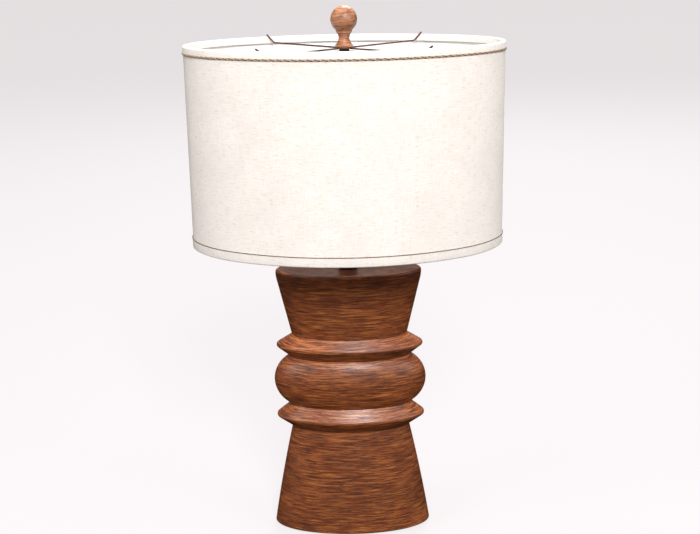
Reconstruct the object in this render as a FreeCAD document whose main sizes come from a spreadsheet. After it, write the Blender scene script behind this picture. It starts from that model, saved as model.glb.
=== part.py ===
import FreeCAD, Part
import math
import os
import Sketcher

# Column table lamp with an oval column of stacked, carved sections and an oval drum shade.
# Millimetres, +Z up. The origin is the middle of the underside; X runs along the long way of
# the ovals, and the front of the lamp faces -Y.

doc = FreeCAD.newDocument("ColumnTableLamp")
sheet = doc.addObject("Spreadsheet::Sheet", "Sizes")
Vector = FreeCAD.Vector
UP = Vector(0, 0, 1)
CENTRE = Vector(0, 0, 0)


class Term:
    """A length worked out from the sheet: its number, and the formula that gives it."""

    def __init__(self, number, formula):
        self.number = number
        self.formula = formula

    def joined(self, sign, number, other):
        return Term(number, f"({self.formula} {sign} {term(other).formula})")

    def __add__(self, other):
        return self.joined("+", self.number + term(other).number, other)

    def __sub__(self, other):
        return self.joined("-", self.number - term(other).number, other)

    def __mul__(self, other):
        return self.joined("*", self.number * term(other).number, other)

    def __truediv__(self, other):
        return self.joined("/", self.number / term(other).number, other)

    def __radd__(self, other):
        return term(other) + self

    def __rmul__(self, other):
        return term(other) * self

    def __rsub__(self, other):
        return term(other) - self

    def __neg__(self):
        return self * -1

    def __float__(self):
        return float(self.number)


def term(value):
    return value if isinstance(value, Term) else Term(value, f"{value:.12g}")


def size(alias, value):
    """One driving dimension, in a row of its own."""
    size.row += 1
    sheet.set(f"A{size.row}", alias)
    sheet.set(f"B{size.row}", str(value))
    sheet.setAlias(f"B{size.row}", alias)
    return Term(value, f"Sizes.{alias}")


size.row = 0

# Oval column: widths are the long way across, and every width has the same ratio of depth.
column_ratio = size("column_ratio", 0.45)
felt_thick = size("felt_thick", 1.5)
felt_inset = size("felt_inset", 5)
foot_width = size("foot_width", 215.4)
foot_top_width = size("foot_top_width", 160)
foot_tall = size("foot_tall", 145.5)
foot_swell = size("foot_swell", 1.2)
foot_edge = size("foot_edge", 2.0)
groove_width = size("groove_width", 162)
lower_collar_width = size("lower_collar_width", 205.4)
lower_collar_tall = size("lower_collar_tall", 33)
upper_collar_width = size("upper_collar_width", 201.6)
upper_collar_tall = size("upper_collar_tall", 30)
collar_tip_rise = size("collar_tip_rise", 15.6)
collar_tip_round = size("collar_tip_round", 3)
swell_ring_width = size("swell_ring_width", 205.6)
swell_ring_tall = size("swell_ring_tall", 68)
cup_foot_width = size("cup_foot_width", 155)
cup_top_width = size("cup_top_width", 193.4)
cup_tall = size("cup_tall", 91)
cup_lip_tall = size("cup_lip_tall", 18)
cup_edge = size("cup_edge", 4)

# What the column hides: threaded pipe, dowels, weight, nuts and the floor plate.
pipe_bore = size("pipe_bore", 10.6)
pipe_outside = size("pipe_outside", 10)
pipe_hole = size("pipe_hole", 6.5)
pipe_tail = size("pipe_tail", 3)
dowel_thick = size("dowel_thick", 8)
dowel_long = size("dowel_long", 24)
dowel_spread = size("dowel_spread", 96)
dowel_ease = size("dowel_ease", 0.1)
recess_width = size("recess_width", 172)
recess_depth = size("recess_depth", 66)
recess_tall = size("recess_tall", 44)
weight_thick = size("weight_thick", 20)
weight_gap = size("weight_gap", 1)
plate_thick = size("plate_thick", 3)
plate_lip = size("plate_lip", 9)
plate_ease = size("plate_ease", 0.3)
nut_flats = size("nut_flats", 16)
nut_thick = size("nut_thick", 5)
washer_across = size("washer_across", 32)
washer_thick = size("washer_thick", 1.6)
top_washer_across = size("top_washer_across", 20)
nut_pocket_across = size("nut_pocket_across", 22)
outlet_bore = size("outlet_bore", 7)
outlet_body = size("outlet_body", 10)
outlet_flange = size("outlet_flange", 15)
outlet_flange_thick = size("outlet_flange_thick", 2)
outlet_up = size("outlet_up", 13)
outlet_seat_in = size("outlet_seat_in", 2.2)
screw_across = size("screw_across", 3.5)
screw_head = size("screw_head", 7)
screw_head_thick = size("screw_head_thick", 1.6)
screw_long = size("screw_long", 14)
screw_spread = size("screw_spread", 181)

# Neck, saddle and harp.
neck_outside = size("neck_outside", 25)
neck_wall = size("neck_wall", 1.2)
neck_tall = size("neck_tall", 32)
saddle_thick = size("saddle_thick", 1.8)
saddle_wide = size("saddle_wide", 13)
saddle_rise = size("saddle_rise", 7)
saddle_flat = size("saddle_flat", 30)
harp_foot_spread = size("harp_foot_spread", 60)
harp_spread = size("harp_spread", 112)
harp_tall = size("harp_tall", 251.4)
harp_wire = size("harp_wire", 3.2)
harp_straight = size("harp_straight", 34)
harp_splay = size("harp_splay", 40)
harp_bend = size("harp_bend", 20)
crown_thick = size("crown_thick", 2.2)
crown_long = size("crown_long", 26)
crown_wide = size("crown_wide", 10)
post_tall = size("post_tall", 7)
sleeve_across = size("sleeve_across", 8)
sleeve_tall = size("sleeve_tall", 15)
sleeve_ease = size("sleeve_ease", 0.1)
seat_gap = size("seat_gap", 0.3)
stud_thread = size("stud_thread", 6.3)
stud_collar_across = size("stud_collar_across", 13)
stud_collar_thick = size("stud_collar_thick", 3)
stud_reach = size("stud_reach", 10)
stud_tail = size("stud_tail", 4.6)
stud_rivet = size("stud_rivet", 8)
stud_rivet_thick = size("stud_rivet_thick", 1.4)
turn_ease = size("turn_ease", 0.08)

# Lamp holder with a turn switch, and its bulb.
cap_across = size("cap_across", 34)
cap_tall = size("cap_tall", 17)
cap_hub_across = size("cap_hub_across", 16)
cap_hub_tall = size("cap_hub_tall", 6)
brass_wall = size("brass_wall", 0.7)
shell_tall = size("shell_tall", 43)
shell_lap = size("shell_lap", 4)
liner_wall = size("liner_wall", 0.6)
part_ease = size("part_ease", 0.15)
core_across = size("core_across", 28.8)
core_tall = size("core_tall", 24)
screw_shell_across = size("screw_shell_across", 27.6)
screw_shell_tall = size("screw_shell_tall", 20)
contact_across = size("contact_across", 9)
contact_tall = size("contact_tall", 3)
knob_across = size("knob_across", 12)
knob_long = size("knob_long", 15)
knob_stand = size("knob_stand", 4)
knob_flat = size("knob_flat", 5)
shaft_across = size("shaft_across", 3)
shaft_hole = size("shaft_hole", 7)
shaft_up = size("shaft_up", 16.5)
bulb_across = size("bulb_across", 60)
bulb_cap_across = size("bulb_cap_across", 26)
bulb_cap_tall = size("bulb_cap_tall", 24)
bulb_neck = size("bulb_neck", 27)
bulb_glass_tall = size("bulb_glass_tall", 82)
glass_wall = size("glass_wall", 0.9)
button_across = size("button_across", 10)
button_tall = size("button_tall", 2.5)

# Oval drum shade and the wire frame inside it.
shade_width = size("shade_width", 406.4)
shade_depth = size("shade_depth", 254)
shade_tall = size("shade_tall", 259.4)
shade_above_hub = size("shade_above_hub", 6.1)
cloth_thick = size("cloth_thick", 0.6)
backing_thick = size("backing_thick", 0.7)
skin_gap = size("skin_gap", 0.1)
top_band_tall = size("top_band_tall", 8.4)
bottom_band_tall = size("bottom_band_tall", 12)
edge_round = size("edge_round", 1.9)
frame_wire = size("frame_wire", 3)
braid_tall = size("braid_tall", 2.6)
piping_tall = size("piping_tall", 1.4)
braid_proud = size("braid_proud", 0.9)
hub_across = size("hub_across", 21)
hub_thick = size("hub_thick", 1.6)
arm_wire = size("arm_wire", 2.2)
arm_angle = size("arm_angle", 45)
arm_bend_back = size("arm_bend_back", 14)
arm_bend_round = size("arm_bend_round", 8)
arm_over_ring = size("arm_over_ring", 4.8)

# Ball finial.
finial_ball = size("finial_ball", 33.4)
finial_tall = size("finial_tall", 50.8)
finial_foot = size("finial_foot", 23)
finial_waist = size("finial_waist", 13.8)
insert_across = size("insert_across", 9.5)
insert_tall = size("insert_tall", 12)

# Levels of the stack, from the table upwards.
foot_z = felt_thick
lower_collar_z = foot_z + foot_tall
swell_ring_z = lower_collar_z + lower_collar_tall
upper_collar_z = swell_ring_z + swell_ring_tall
cup_z = upper_collar_z + upper_collar_tall
column_top_z = cup_z + cup_tall
saddle_z = column_top_z + neck_tall
harp_top_z = saddle_z + harp_tall
stud_collar_top_z = harp_top_z + stud_collar_thick
hub_z = stud_collar_top_z + seat_gap
finial_z = hub_z + hub_thick + seat_gap
rim_z = finial_z + shade_above_hub - seat_gap
shade_z = rim_z - shade_tall
cap_z = saddle_z + saddle_thick
core_z = cap_z + cap_hub_tall + brass_wall + part_ease
screw_shell_z = core_z + core_tall
shell_z = cap_z + cap_tall - shell_lap
shaft_z = core_z + shaft_up
bulb_z = screw_shell_z + contact_tall + seat_gap
doc.recompute()

nodes = []


def named(obj, label, at=None):
    """Give a finished sub-part its name and, where it isn't drawn in place, its level."""
    obj.Label = label
    if at is not None:
        obj.setExpression("Placement.Base.z", term(at).formula)
    nodes.append(obj)
    return obj


def origin_plane(body, role):
    return next(item for item in body.Origin.OriginFeatures if item.Role == role)


def sketch_on(body, role, name):
    sketch = body.newObject("Sketcher::SketchObject", name)
    sketch.AttachmentSupport = [(origin_plane(body, role), "")]
    sketch.MapMode = "FlatFace"
    return sketch


def pin(sketch, geometry, point, place):
    """Hold one point of a sketch at a place given by two terms."""
    for kind, axis, value in (("DistanceX", -2, place[0]), ("DistanceY", -1, place[1])):
        if float(value) == 0:
            sketch.addConstraint(Sketcher.Constraint("PointOnObject", geometry, point, axis))
            continue
        index = sketch.addConstraint(Sketcher.Constraint(kind, -1, 1, geometry, point, float(value)))
        sketch.setExpression(f"Constraints[{index}]", term(value).formula)


def arc_centre(start, end, radius, side):
    """Centre of the arc between two points; side 1 puts it left of the way from start to end."""
    middle = (start + end) / 2
    chord = end - start
    reach = math.sqrt(radius ** 2 - (chord.Length / 2) ** 2)
    return middle + Vector(-chord.y, chord.x, 0).normalize() * reach * side


def closed_outline(sketch, outline):
    """Draw a closed outline. Each corner is (x, y), or (x, y, radius, side) where an arc leads on.

    An arc that meets the axis is part of a ball, so its centre is held on the axis instead.
    """
    points = [Vector(float(corner[0]), float(corner[1]), 0) for corner in outline]
    ends = []
    for index, corner in enumerate(outline):
        start, end = points[index], points[(index + 1) % len(points)]
        if len(corner) == 2:
            line = sketch.addGeometry(Part.LineSegment(start, end))
            ends.append((line, 1, 2))
            continue
        radius, side = corner[2], corner[3]
        centre = arc_centre(start, end, float(radius), side)
        first, last = (start, end) if side > 0 else (end, start)
        angles = [math.atan2(point.y - centre.y, point.x - centre.x) for point in (first, last)]
        circle = Part.Circle(centre, UP, float(radius))
        arc = sketch.addGeometry(Part.ArcOfCircle(circle, angles[0], angles[1]))
        ends.append((arc, 1, 2) if side > 0 else (arc, 2, 1))
        if 0 in (float(corner[0]), float(outline[(index + 1) % len(outline)][0])):
            sketch.addConstraint(Sketcher.Constraint("PointOnObject", arc, 3, -2))
            continue
        bend = sketch.addConstraint(Sketcher.Constraint("Radius", arc, float(radius)))
        sketch.setExpression(f"Constraints[{bend}]", term(radius).formula)
    for index, (geometry, head, tail) in enumerate(ends):
        following, next_head, _ = ends[(index + 1) % len(ends)]
        sketch.addConstraint(Sketcher.Constraint("Coincident", geometry, tail, following, next_head))
        pin(sketch, geometry, head, outline[index])


def turned(label, outline, at):
    """A piece made on a lathe: a half outline of (radius, height) corners, turned about Z."""
    body = doc.addObject("PartDesign::Body", f"{label}_body")
    sketch = sketch_on(body, "XZ_Plane", f"{label}_outline")
    closed_outline(sketch, outline)
    turning = body.newObject("PartDesign::Revolution", f"{label}_turning")
    turning.Profile = sketch
    turning.ReferenceAxis = (sketch, ["V_Axis"])
    turning.Angle = 360
    return named(body, label, at)


def disc(label, across, bore, thick, at):
    """A flat round piece with a round hole through it."""
    return turned(label, [(bore / 2, 0), (across / 2, 0), (across / 2, thick), (bore / 2, thick)], at)


def hexagon_nut(label, bore, at):
    blank = doc.addObject("Part::Prism", f"{label}_blank")
    blank.Polygon = 6
    blank.setExpression("Circumradius", (nut_flats / 2 / math.cos(math.pi / 6)).formula)
    blank.setExpression("Height", nut_thick.formula)
    hole = doc.addObject("Part::Cylinder", f"{label}_hole")
    hole.setExpression("Radius", (bore / 2).formula)
    hole.setExpression("Height", nut_thick.formula)
    nut = doc.addObject("Part::Cut", f"{label}_cut")
    nut.Base = blank
    nut.Tool = hole
    return named(nut, label, at)


def oval_block(name, half_width, half_depth, tall, at):
    """A straight-sided block with an oval plan, drawn in place."""
    plan = doc.addObject("Part::Ellipse", f"{name}_plan")
    plan.setExpression("MajorRadius", term(half_width).formula)
    plan.setExpression("MinorRadius", term(half_depth).formula)
    block = doc.addObject("Part::Extrusion", f"{name}_block")
    block.Base = plan
    block.DirMode = "Custom"
    block.Dir = UP
    block.Solid = True
    block.setExpression("LengthFwd", term(tall).formula)
    block.setExpression("Placement.Base.z", term(at).formula)
    return block


def free_piece(label, shape):
    """A piece that is shaped directly: lofted ovals, bent wires and wrapped strips."""
    piece = doc.addObject("Part::Feature", f"{label}_piece")
    piece.Shape = shape
    return named(piece, label)


def upright(across, tall, x=0.0, y=0.0, z=0.0):
    return Part.makeCylinder(float(across) / 2, float(tall), Vector(float(x), float(y), float(z)), UP)


def flat_oval(half_width, half_depth, tall, z):
    edge = Part.Ellipse(Vector(0, 0, float(z)), float(half_width), float(half_depth)).toShape()
    return Part.Face(Part.Wire([edge])).extrude(UP * float(tall))


def carved(edges, z):
    """Turn an outline about Z and squash it to the column's oval plan."""
    solid = Part.makeSolid(Part.makeShell(Part.Face(Part.Wire(edges)).revolve(CENTRE, UP, 360).Faces))
    squash = FreeCAD.Matrix()
    squash.scale(1, float(column_ratio), 1)
    solid = solid.transformGeometry(squash)
    if solid.Volume < 0:
        solid.reverse()
    solid.translate(Vector(0, 0, float(z)))
    return solid


def straight(start, end):
    return Part.LineSegment(start, end).toShape()


def outline_edges(corners):
    """Edges through (x, z) corners. A third value bows the edge that leads on to the right."""
    places = [Vector(float(corner[0]), 0, float(corner[1])) for corner in corners]
    edges = []
    for corner, start, end in zip(corners, places, places[1:]):
        if len(corner) == 2:
            edges.append(straight(start, end))
            continue
        chord = end - start
        bow = Vector(chord.z, 0, -chord.x).normalize() * float(corner[2])
        edges.append(Part.Arc(start, (start + end) / 2 + bow, end).toShape())
    return edges


def rounded_corner(before, corner, after, radius):
    """The two corners that stand for one where it is rounded."""
    tip = Vector(*corner, 0)
    ways = [(Vector(*other, 0) - tip).normalize() for other in (before, after)]
    half_angle = ways[0].getAngle(ways[1]) / 2
    start, end = [tip + way * (radius / math.tan(half_angle)) for way in ways]
    return [(start.x, start.y, radius * (1 - math.sin(half_angle))), (end.x, end.y)]


QUARTER_BOW = 1 - math.sqrt(0.5)


def dowels(joint_z, across, long):
    """A pair of round pegs that straddle one joint of the column."""
    return [upright(across, long, x=side * dowel_spread.number / 2, z=joint_z - long / 2)
            for side in (-1, 1)]


joint_levels = [float(level) for level in (lower_collar_z, swell_ring_z, upper_collar_z, cup_z)]
dowel_holes = Part.makeCompound([hole for level in joint_levels
                                 for hole in dowels(level, dowel_thick + dowel_ease, dowel_long.number + 1)])


def column_piece(label, outline, z, tall, cuts=()):
    """One carved section, bored for the pipe and pegged to its neighbours."""
    bore = upright(pipe_bore, tall + 2, z=z - 1)
    solid = carved(outline_edges(outline), z).cut([bore, dowel_holes, *cuts])
    return free_piece(label, solid)


# Foot: a tapered oval block with a slight swell, hollowed from below for the weight.
half_foot, half_foot_top = foot_width.number / 2, foot_top_width.number / 2
foot_outline = [(0, 0), (half_foot - foot_edge.number, 0, foot_edge.number * QUARTER_BOW),
                (half_foot, foot_edge.number, foot_swell.number),
                (half_foot_top, foot_tall.number), (0, foot_tall.number), (0, 0)]
recess = flat_oval(recess_width / 2, recess_depth / 2, recess_tall + 1, foot_z - 1)
rabbet = flat_oval(recess_width / 2 + plate_lip, recess_depth / 2 + plate_lip, plate_thick + 1, foot_z - 1)
outlet_z = foot_z + outlet_up
outlet_lean = (foot_width - foot_top_width) / 2 / foot_tall * outlet_up
outlet_face_y = (foot_width / 2 - outlet_lean) * column_ratio - outlet_seat_in
BACKWARDS = Vector(0, 1, 0)


def rearward(across, long, y):
    return Part.makeCylinder(float(across) / 2, float(long), Vector(0, float(y), float(outlet_z)), BACKWARDS)


seat_run_out = 20
outlet_seat = rearward(outlet_flange + plate_ease * 2, seat_run_out, outlet_face_y)
outlet_hole = rearward(outlet_body + dowel_ease * 2, outlet_face_y, 1)
screw_sides = (-1, 1)


def floor_screws(across, long, z):
    return [upright(across, long, x=side * screw_spread.number / 2, z=z) for side in screw_sides]


screw_holes = floor_screws(screw_across + dowel_ease, screw_long + 1, foot_z)
column_piece("foot_section", foot_outline, foot_z, foot_tall,
             [recess, rabbet, outlet_seat, outlet_hole] + screw_holes)


def collar_outline(width, tall, foot, top):
    """A disc with a bevel above and below its rounded tip."""
    low, high = (float(foot), 0), (float(top), float(tall))
    tip = (float(width) / 2, float(collar_tip_rise))
    return [(0, 0), low, *rounded_corner(low, tip, high, float(collar_tip_round)), high,
            (0, float(tall)), (0, 0)]


column_piece("lower_collar",
             collar_outline(lower_collar_width, lower_collar_tall, foot_top_width / 2, groove_width / 2),
             lower_collar_z, lower_collar_tall)

# The fat ring between the collars: its side is one round arc.
half_neck = groove_width / 2
column_piece("swell_ring",
             [(0, 0), (half_neck, 0, swell_ring_width / 2 - half_neck), (half_neck, swell_ring_tall),
              (0, swell_ring_tall), (0, 0)],
             swell_ring_z, swell_ring_tall)

column_piece("upper_collar",
             collar_outline(upper_collar_width, upper_collar_tall, groove_width / 2, cup_foot_width / 2),
             upper_collar_z, upper_collar_tall)

# Cup: a flared block whose wall turns upright below the rounded top edge.
half_cup, half_cup_top = cup_foot_width.number / 2, cup_top_width.number / 2
lip_z = cup_tall.number - cup_lip_tall.number
flare = (half_cup_top - half_cup) / (cup_tall.number - cup_lip_tall.number / 2)
lip_bow = math.hypot(cup_lip_tall.number, flare * cup_lip_tall.number) * flare / 8
cup_outline = [(0, 0), (half_cup, 0), (half_cup + flare * lip_z, lip_z, lip_bow),
               (half_cup_top, cup_tall.number - cup_edge.number, cup_edge.number * QUARTER_BOW),
               (half_cup_top - cup_edge.number, cup_tall.number), (0, cup_tall.number), (0, 0)]
pocket_depth = washer_thick + nut_thick + 1
nut_pocket = upright(nut_pocket_across, pocket_depth + 1, z=column_top_z - pocket_depth)
column_piece("cup_section", cup_outline, cup_z, cup_tall, [nut_pocket])

free_piece("locating_dowels", Part.makeCompound([peg for level in joint_levels
                                                for peg in dowels(level, dowel_thick, dowel_long.number)]))

# Inside the foot: weight, washer and nut on the pipe, then the floor plate and its felt.
weight_z = foot_z + recess_tall - weight_thick
weight = oval_block("weight_blank", recess_width / 2 - weight_gap, recess_depth / 2 - weight_gap,
                    weight_thick, weight_z)
weight_hole = doc.addObject("Part::Cylinder", "weight_hole")
weight_hole.setExpression("Radius", (pipe_bore / 2).formula)
weight_hole.setExpression("Height", weight_thick.formula)
weight_hole.setExpression("Placement.Base.z", weight_z.formula)
weight_cut = doc.addObject("Part::Cut", "weight_cut")
weight_cut.Base = weight
weight_cut.Tool = weight_hole
named(weight_cut, "ballast_weight")

lower_washer_z = weight_z - washer_thick
lower_nut_z = lower_washer_z - nut_thick
disc("lower_washer", washer_across, pipe_bore, washer_thick, lower_washer_z)
hexagon_nut("lower_nut", pipe_outside + dowel_ease, lower_nut_z)

plate_half_width = recess_width / 2 + plate_lip - plate_ease
plate_half_depth = recess_depth / 2 + plate_lip - plate_ease
plate = flat_oval(plate_half_width, plate_half_depth, plate_thick, foot_z)
for hole in floor_screws(screw_across + plate_ease, plate_thick, foot_z):
    plate = plate.cut(hole)
for seat in floor_screws(screw_head + plate_ease, screw_head_thick, foot_z):
    plate = plate.cut(seat)
free_piece("floor_plate", plate)
screws = [head.fuse(shank) for head, shank in zip(floor_screws(screw_head, screw_head_thick, foot_z),
                                                  floor_screws(screw_across, screw_long, foot_z))]
free_piece("floor_screws", Part.makeCompound(screws))
felt = oval_block("felt", foot_width / 2 - felt_inset, foot_width / 2 * column_ratio - felt_inset,
                  felt_thick, 0)
named(felt, "felt_pad")

# Flanged bushing in the spot-faced hole at the back of the foot, bored for a lead.
outlet_long = outlet_face_y - recess_depth / 2 + 2
bushing = rearward(outlet_flange, outlet_flange_thick, outlet_face_y)
bushing = bushing.fuse(rearward(outlet_body, outlet_long, outlet_face_y - outlet_long))
bushing = bushing.cut(rearward(outlet_bore, outlet_long + outlet_flange_thick + 2,
                               outlet_face_y - outlet_long - 1))
free_piece("outlet_bushing", bushing)

# Threaded pipe that pulls the stack together, from below the lower nut up into the lamp holder.
pipe_z = lower_nut_z - pipe_tail
pipe_long = cap_z + cap_hub_tall - pipe_z
disc("threaded_pipe", pipe_outside, pipe_hole, pipe_long, pipe_z)
top_washer_z = column_top_z - pocket_depth
disc("top_washer", top_washer_across, pipe_bore, washer_thick, top_washer_z)
hexagon_nut("top_nut", pipe_outside + dowel_ease, top_washer_z + washer_thick)

# Neck: a bronzed tube that stands on the cup and hides the pipe and its nut.
neck_inside = neck_outside / 2 - neck_wall
turned("neck", [(neck_inside, 0), (neck_outside / 2, 0), (neck_outside / 2, neck_tall),
                (pipe_bore / 2, neck_tall), (pipe_bore / 2, neck_tall - neck_wall),
                (neck_inside, neck_tall - neck_wall)], column_top_z)

# Harp saddle: a strap held on the pipe, with a round post at each raised end.
half_flat, half_feet = saddle_flat.number / 2, harp_foot_spread.number / 2
strap_thick, strap_rise = float(saddle_thick), float(saddle_rise)
end_reach = sleeve_across.number / 2 + 1
slope_run = half_feet - end_reach - half_flat
mitre = strap_thick * math.tan(math.atan2(strap_rise, slope_run) / 2)
half_strap = [(half_flat, 0), (half_feet - end_reach, strap_rise), (half_feet + end_reach, strap_rise),
              (half_feet + end_reach, strap_rise + strap_thick),
              (half_feet - end_reach - mitre, strap_rise + strap_thick),
              (half_flat - mitre, strap_thick)]
strap_points = half_strap + [(-x, z) for x, z in reversed(half_strap)]
strap_wire = Part.Wire(outline_edges(strap_points + strap_points[:1]))
strap = Part.Face(strap_wire).extrude(Vector(0, float(saddle_wide), 0))
strap.translate(Vector(0, -saddle_wide.number / 2, 0))
strap = strap.cut(upright(pipe_bore, strap_thick + 2, z=-1))
for side in (-1, 1):
    strap = strap.fuse(upright(harp_wire, post_tall, x=side * half_feet, z=strap_rise + strap_thick))
strap.translate(Vector(0, 0, float(saddle_z)))
free_piece("harp_saddle", strap)

# Harp: two bent wire legs that meet in a flattened crown with a hole for the stud.
shoulder_z = saddle_z + saddle_rise + saddle_thick
leg_z = float(shoulder_z + post_tall + sleeve_ease)
splay = math.radians(float(harp_splay))
bend, half_harp = float(harp_bend), harp_spread.number / 2
crown_z = float(harp_top_z - crown_thick)
arch_z = crown_z + crown_thick.number / 2 - half_harp
crown_meet = crown_long.number / 2 - float(harp_wire) / 2


def at_angle(x, z, radius, angle):
    return Vector(x + radius * math.cos(angle), 0, z + radius * math.sin(angle))


def bent(x, z, radius, first, last):
    """An arc of the harp's wire, from one angle to another about a centre."""
    points = [at_angle(x, z, radius, angle) for angle in (first, (first + last) / 2, last)]
    return Part.Arc(*points).toShape()


bend_z = leg_z + float(harp_straight)
outward_end = at_angle(half_feet + bend, bend_z, bend, math.pi - splay)
slant_rise = (half_harp - bend + bend * math.cos(splay) - outward_end.x) / math.tan(splay)
upright_z = outward_end.z + slant_rise + bend * math.sin(splay)
inward_start = at_angle(half_harp - bend, upright_z, bend, -splay)
arch_angle = math.acos(crown_meet / half_harp)
leg_path = Part.Wire([
    straight(Vector(half_feet, 0, leg_z), Vector(half_feet, 0, bend_z)),
    bent(half_feet + bend, bend_z, bend, math.pi, math.pi - splay),
    straight(outward_end, inward_start),
    bent(half_harp - bend, upright_z, bend, -splay, 0),
    straight(Vector(half_harp, 0, upright_z), Vector(half_harp, 0, arch_z)),
    bent(0, arch_z, half_harp, 0, arch_angle)])


def wire_rod(path, start, direction, across):
    """A round rod that follows a path."""
    section = Part.Wire([Part.makeCircle(float(across) / 2, start, direction)])
    return path.makePipeShell([section], True, False)


leg = wire_rod(leg_path, Vector(half_feet, 0, leg_z), UP, harp_wire)
crown = Part.makeBox(float(crown_long), float(crown_wide), float(crown_thick),
                     Vector(-crown_long.number / 2, -crown_wide.number / 2, crown_z))
harp = crown.fuse([leg, leg.mirror(CENTRE, Vector(1, 0, 0))])
harp = harp.cut(upright(stud_tail + dowel_ease, crown_thick + 2, z=crown_z - 1))
free_piece("harp", harp.removeSplitter())

for side, label in ((-1, "sleeve_left"), (1, "sleeve_right")):
    sleeve_bore = harp_wire / 2 + sleeve_ease
    chamfer = 1
    sleeve = turned(label, [(sleeve_bore, 0), (sleeve_across / 2 - chamfer, 0), (sleeve_across / 2, chamfer),
                            (sleeve_across / 2, sleeve_tall - chamfer),
                            (sleeve_across / 2 - chamfer, sleeve_tall), (sleeve_bore, sleeve_tall)],
                    shoulder_z + seat_gap)
    sleeve.setExpression("Placement.Base.x", (harp_foot_spread / 2 * side).formula)

# Stud riveted through the crown: a collar for the shade's hub and a thread for the finial.
stud_z = harp_top_z - crown_thick - stud_rivet_thick
collar_z = stud_rivet_thick + crown_thick
thread_top = collar_z + stud_collar_thick + hub_thick + seat_gap * 2 + stud_reach
thread_chamfer = 0.8
turned("harp_stud", [(0, 0), (stud_rivet / 2, 0), (stud_rivet / 2, stud_rivet_thick),
                     (stud_tail / 2, stud_rivet_thick), (stud_tail / 2, collar_z),
                     (stud_collar_across / 2, collar_z),
                     (stud_collar_across / 2, collar_z + stud_collar_thick),
                     (stud_thread / 2, collar_z + stud_collar_thick),
                     (stud_thread / 2, thread_top - thread_chamfer),
                     (stud_thread / 2 - thread_chamfer, thread_top), (0, thread_top)], stud_z)

# Lamp holder: domed cap, brass shell, card liner, and the moulded core with its screw shell.
cap_radius = cap_across / 2
hub_radius = cap_hub_across / 2
dome_top = cap_tall - shell_lap - brass_wall
dome_bend = 11
inner_dome_bend = 10.5
pipe_ease = (pipe_outside + dowel_ease) / 2
turned("socket_cap", [(pipe_ease, 0), (hub_radius, 0),
                      (hub_radius, cap_hub_tall, dome_bend, 1),
                      (cap_radius, dome_top), (cap_radius, cap_tall),
                      (cap_radius - brass_wall, cap_tall),
                      (cap_radius - brass_wall, dome_top + brass_wall / 2, inner_dome_bend, -1),
                      (hub_radius - brass_wall / 2, cap_hub_tall + brass_wall),
                      (pipe_ease, cap_hub_tall + brass_wall)], cap_z)
shell_radius = cap_radius - brass_wall - part_ease
mouth_drawn_in = 1.4
mouth_tall = 2
mouth_fold = 0.4
mouth_radius = shell_radius - mouth_drawn_in
turned("shell_blank", [(shell_radius - brass_wall, 0), (shell_radius, 0),
                       (shell_radius, shell_tall - mouth_tall), (mouth_radius, shell_tall),
                       (mouth_radius - brass_wall, shell_tall),
                       (shell_radius - brass_wall, shell_tall - mouth_tall - mouth_fold)], shell_z)
liner_radius = shell_radius - brass_wall - part_ease
liner_short = 4
liner_tall = shell_tall - liner_short
disc("liner_blank", liner_radius * 2, liner_radius * 2 - liner_wall * 2, liner_tall, shell_z + part_ease)


def shaft_tool(label, across, start, end):
    """A round bore or rod that lies along the switch shaft, from one depth to another."""
    rod = doc.addObject("Part::Cylinder", f"{label}_rod")
    rod.setExpression("Radius", (term(across) / 2).formula)
    rod.setExpression("Height", (term(end) - start).formula)
    rod.setExpression("Placement.Base.y", (term(start) * -1).formula)
    rod.setExpression("Placement.Base.z", shaft_z.formula)
    rod.Placement.Rotation = FreeCAD.Rotation(Vector(1, 0, 0), 90)
    return rod


def pierced(label, blank, across, start, end):
    piece = doc.addObject("Part::Cut", f"{label}_cut")
    piece.Base = blank
    piece.Tool = shaft_tool(f"{label}_hole", across, start, end)
    nodes.remove(blank)
    return named(piece, label)


shell_blank, liner_blank = nodes[-2:]
pierced("socket_shell", shell_blank, shaft_hole, 0, cap_radius)
pierced("shell_liner", liner_blank, shaft_hole, 0, cap_radius)
core_radius = core_across / 2
core_slope = 7.5
core_foot_in = 1
core_blank = turned("core_blank", [(0, 0), (hub_radius - core_foot_in, 0), (core_radius, core_slope),
                                   (core_radius, core_tall), (0, core_tall)], core_z)
shaft_root = core_radius / 2
pierced("socket_core", core_blank, shaft_across + turn_ease * 2, shaft_root, cap_radius)
disc("screw_shell", screw_shell_across, screw_shell_across - brass_wall, screw_shell_tall, screw_shell_z)
contact_hole = 2
disc("centre_contact", contact_across, contact_hole, contact_tall, screw_shell_z)

# Turn switch: a brass shaft and the moulded key on it.
knob_near = shell_radius + knob_stand
knob_grip = 8
shaft = shaft_tool("switch", shaft_across, shaft_root + seat_gap, knob_near + knob_grip)
named(shaft, "switch_shaft")
knob_bar = doc.addObject("Part::Box", "knob_bar")
knob_bar.setExpression("Length", knob_across.formula)
knob_bar.setExpression("Width", (knob_long - knob_stand).formula)
knob_bar.setExpression("Height", knob_flat.formula)
knob_bar.setExpression("Placement.Base.x", (knob_across / -2).formula)
knob_bar.setExpression("Placement.Base.y", ((knob_near + knob_long) * -1).formula)
knob_bar.setExpression("Placement.Base.z", (shaft_z - knob_flat / 2).formula)
knob_barrel = shaft_tool("knob_barrel", knob_across, knob_near, knob_near + knob_stand)
knob_body = doc.addObject("Part::Fuse", "knob_body")
knob_body.Base = knob_barrel
knob_body.Tool = knob_bar
doc.recompute()
nodes.append(knob_body)
pierced("switch_knob", knob_body, shaft_across + dowel_ease, knob_near, knob_near + knob_grip + seat_gap)

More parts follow.
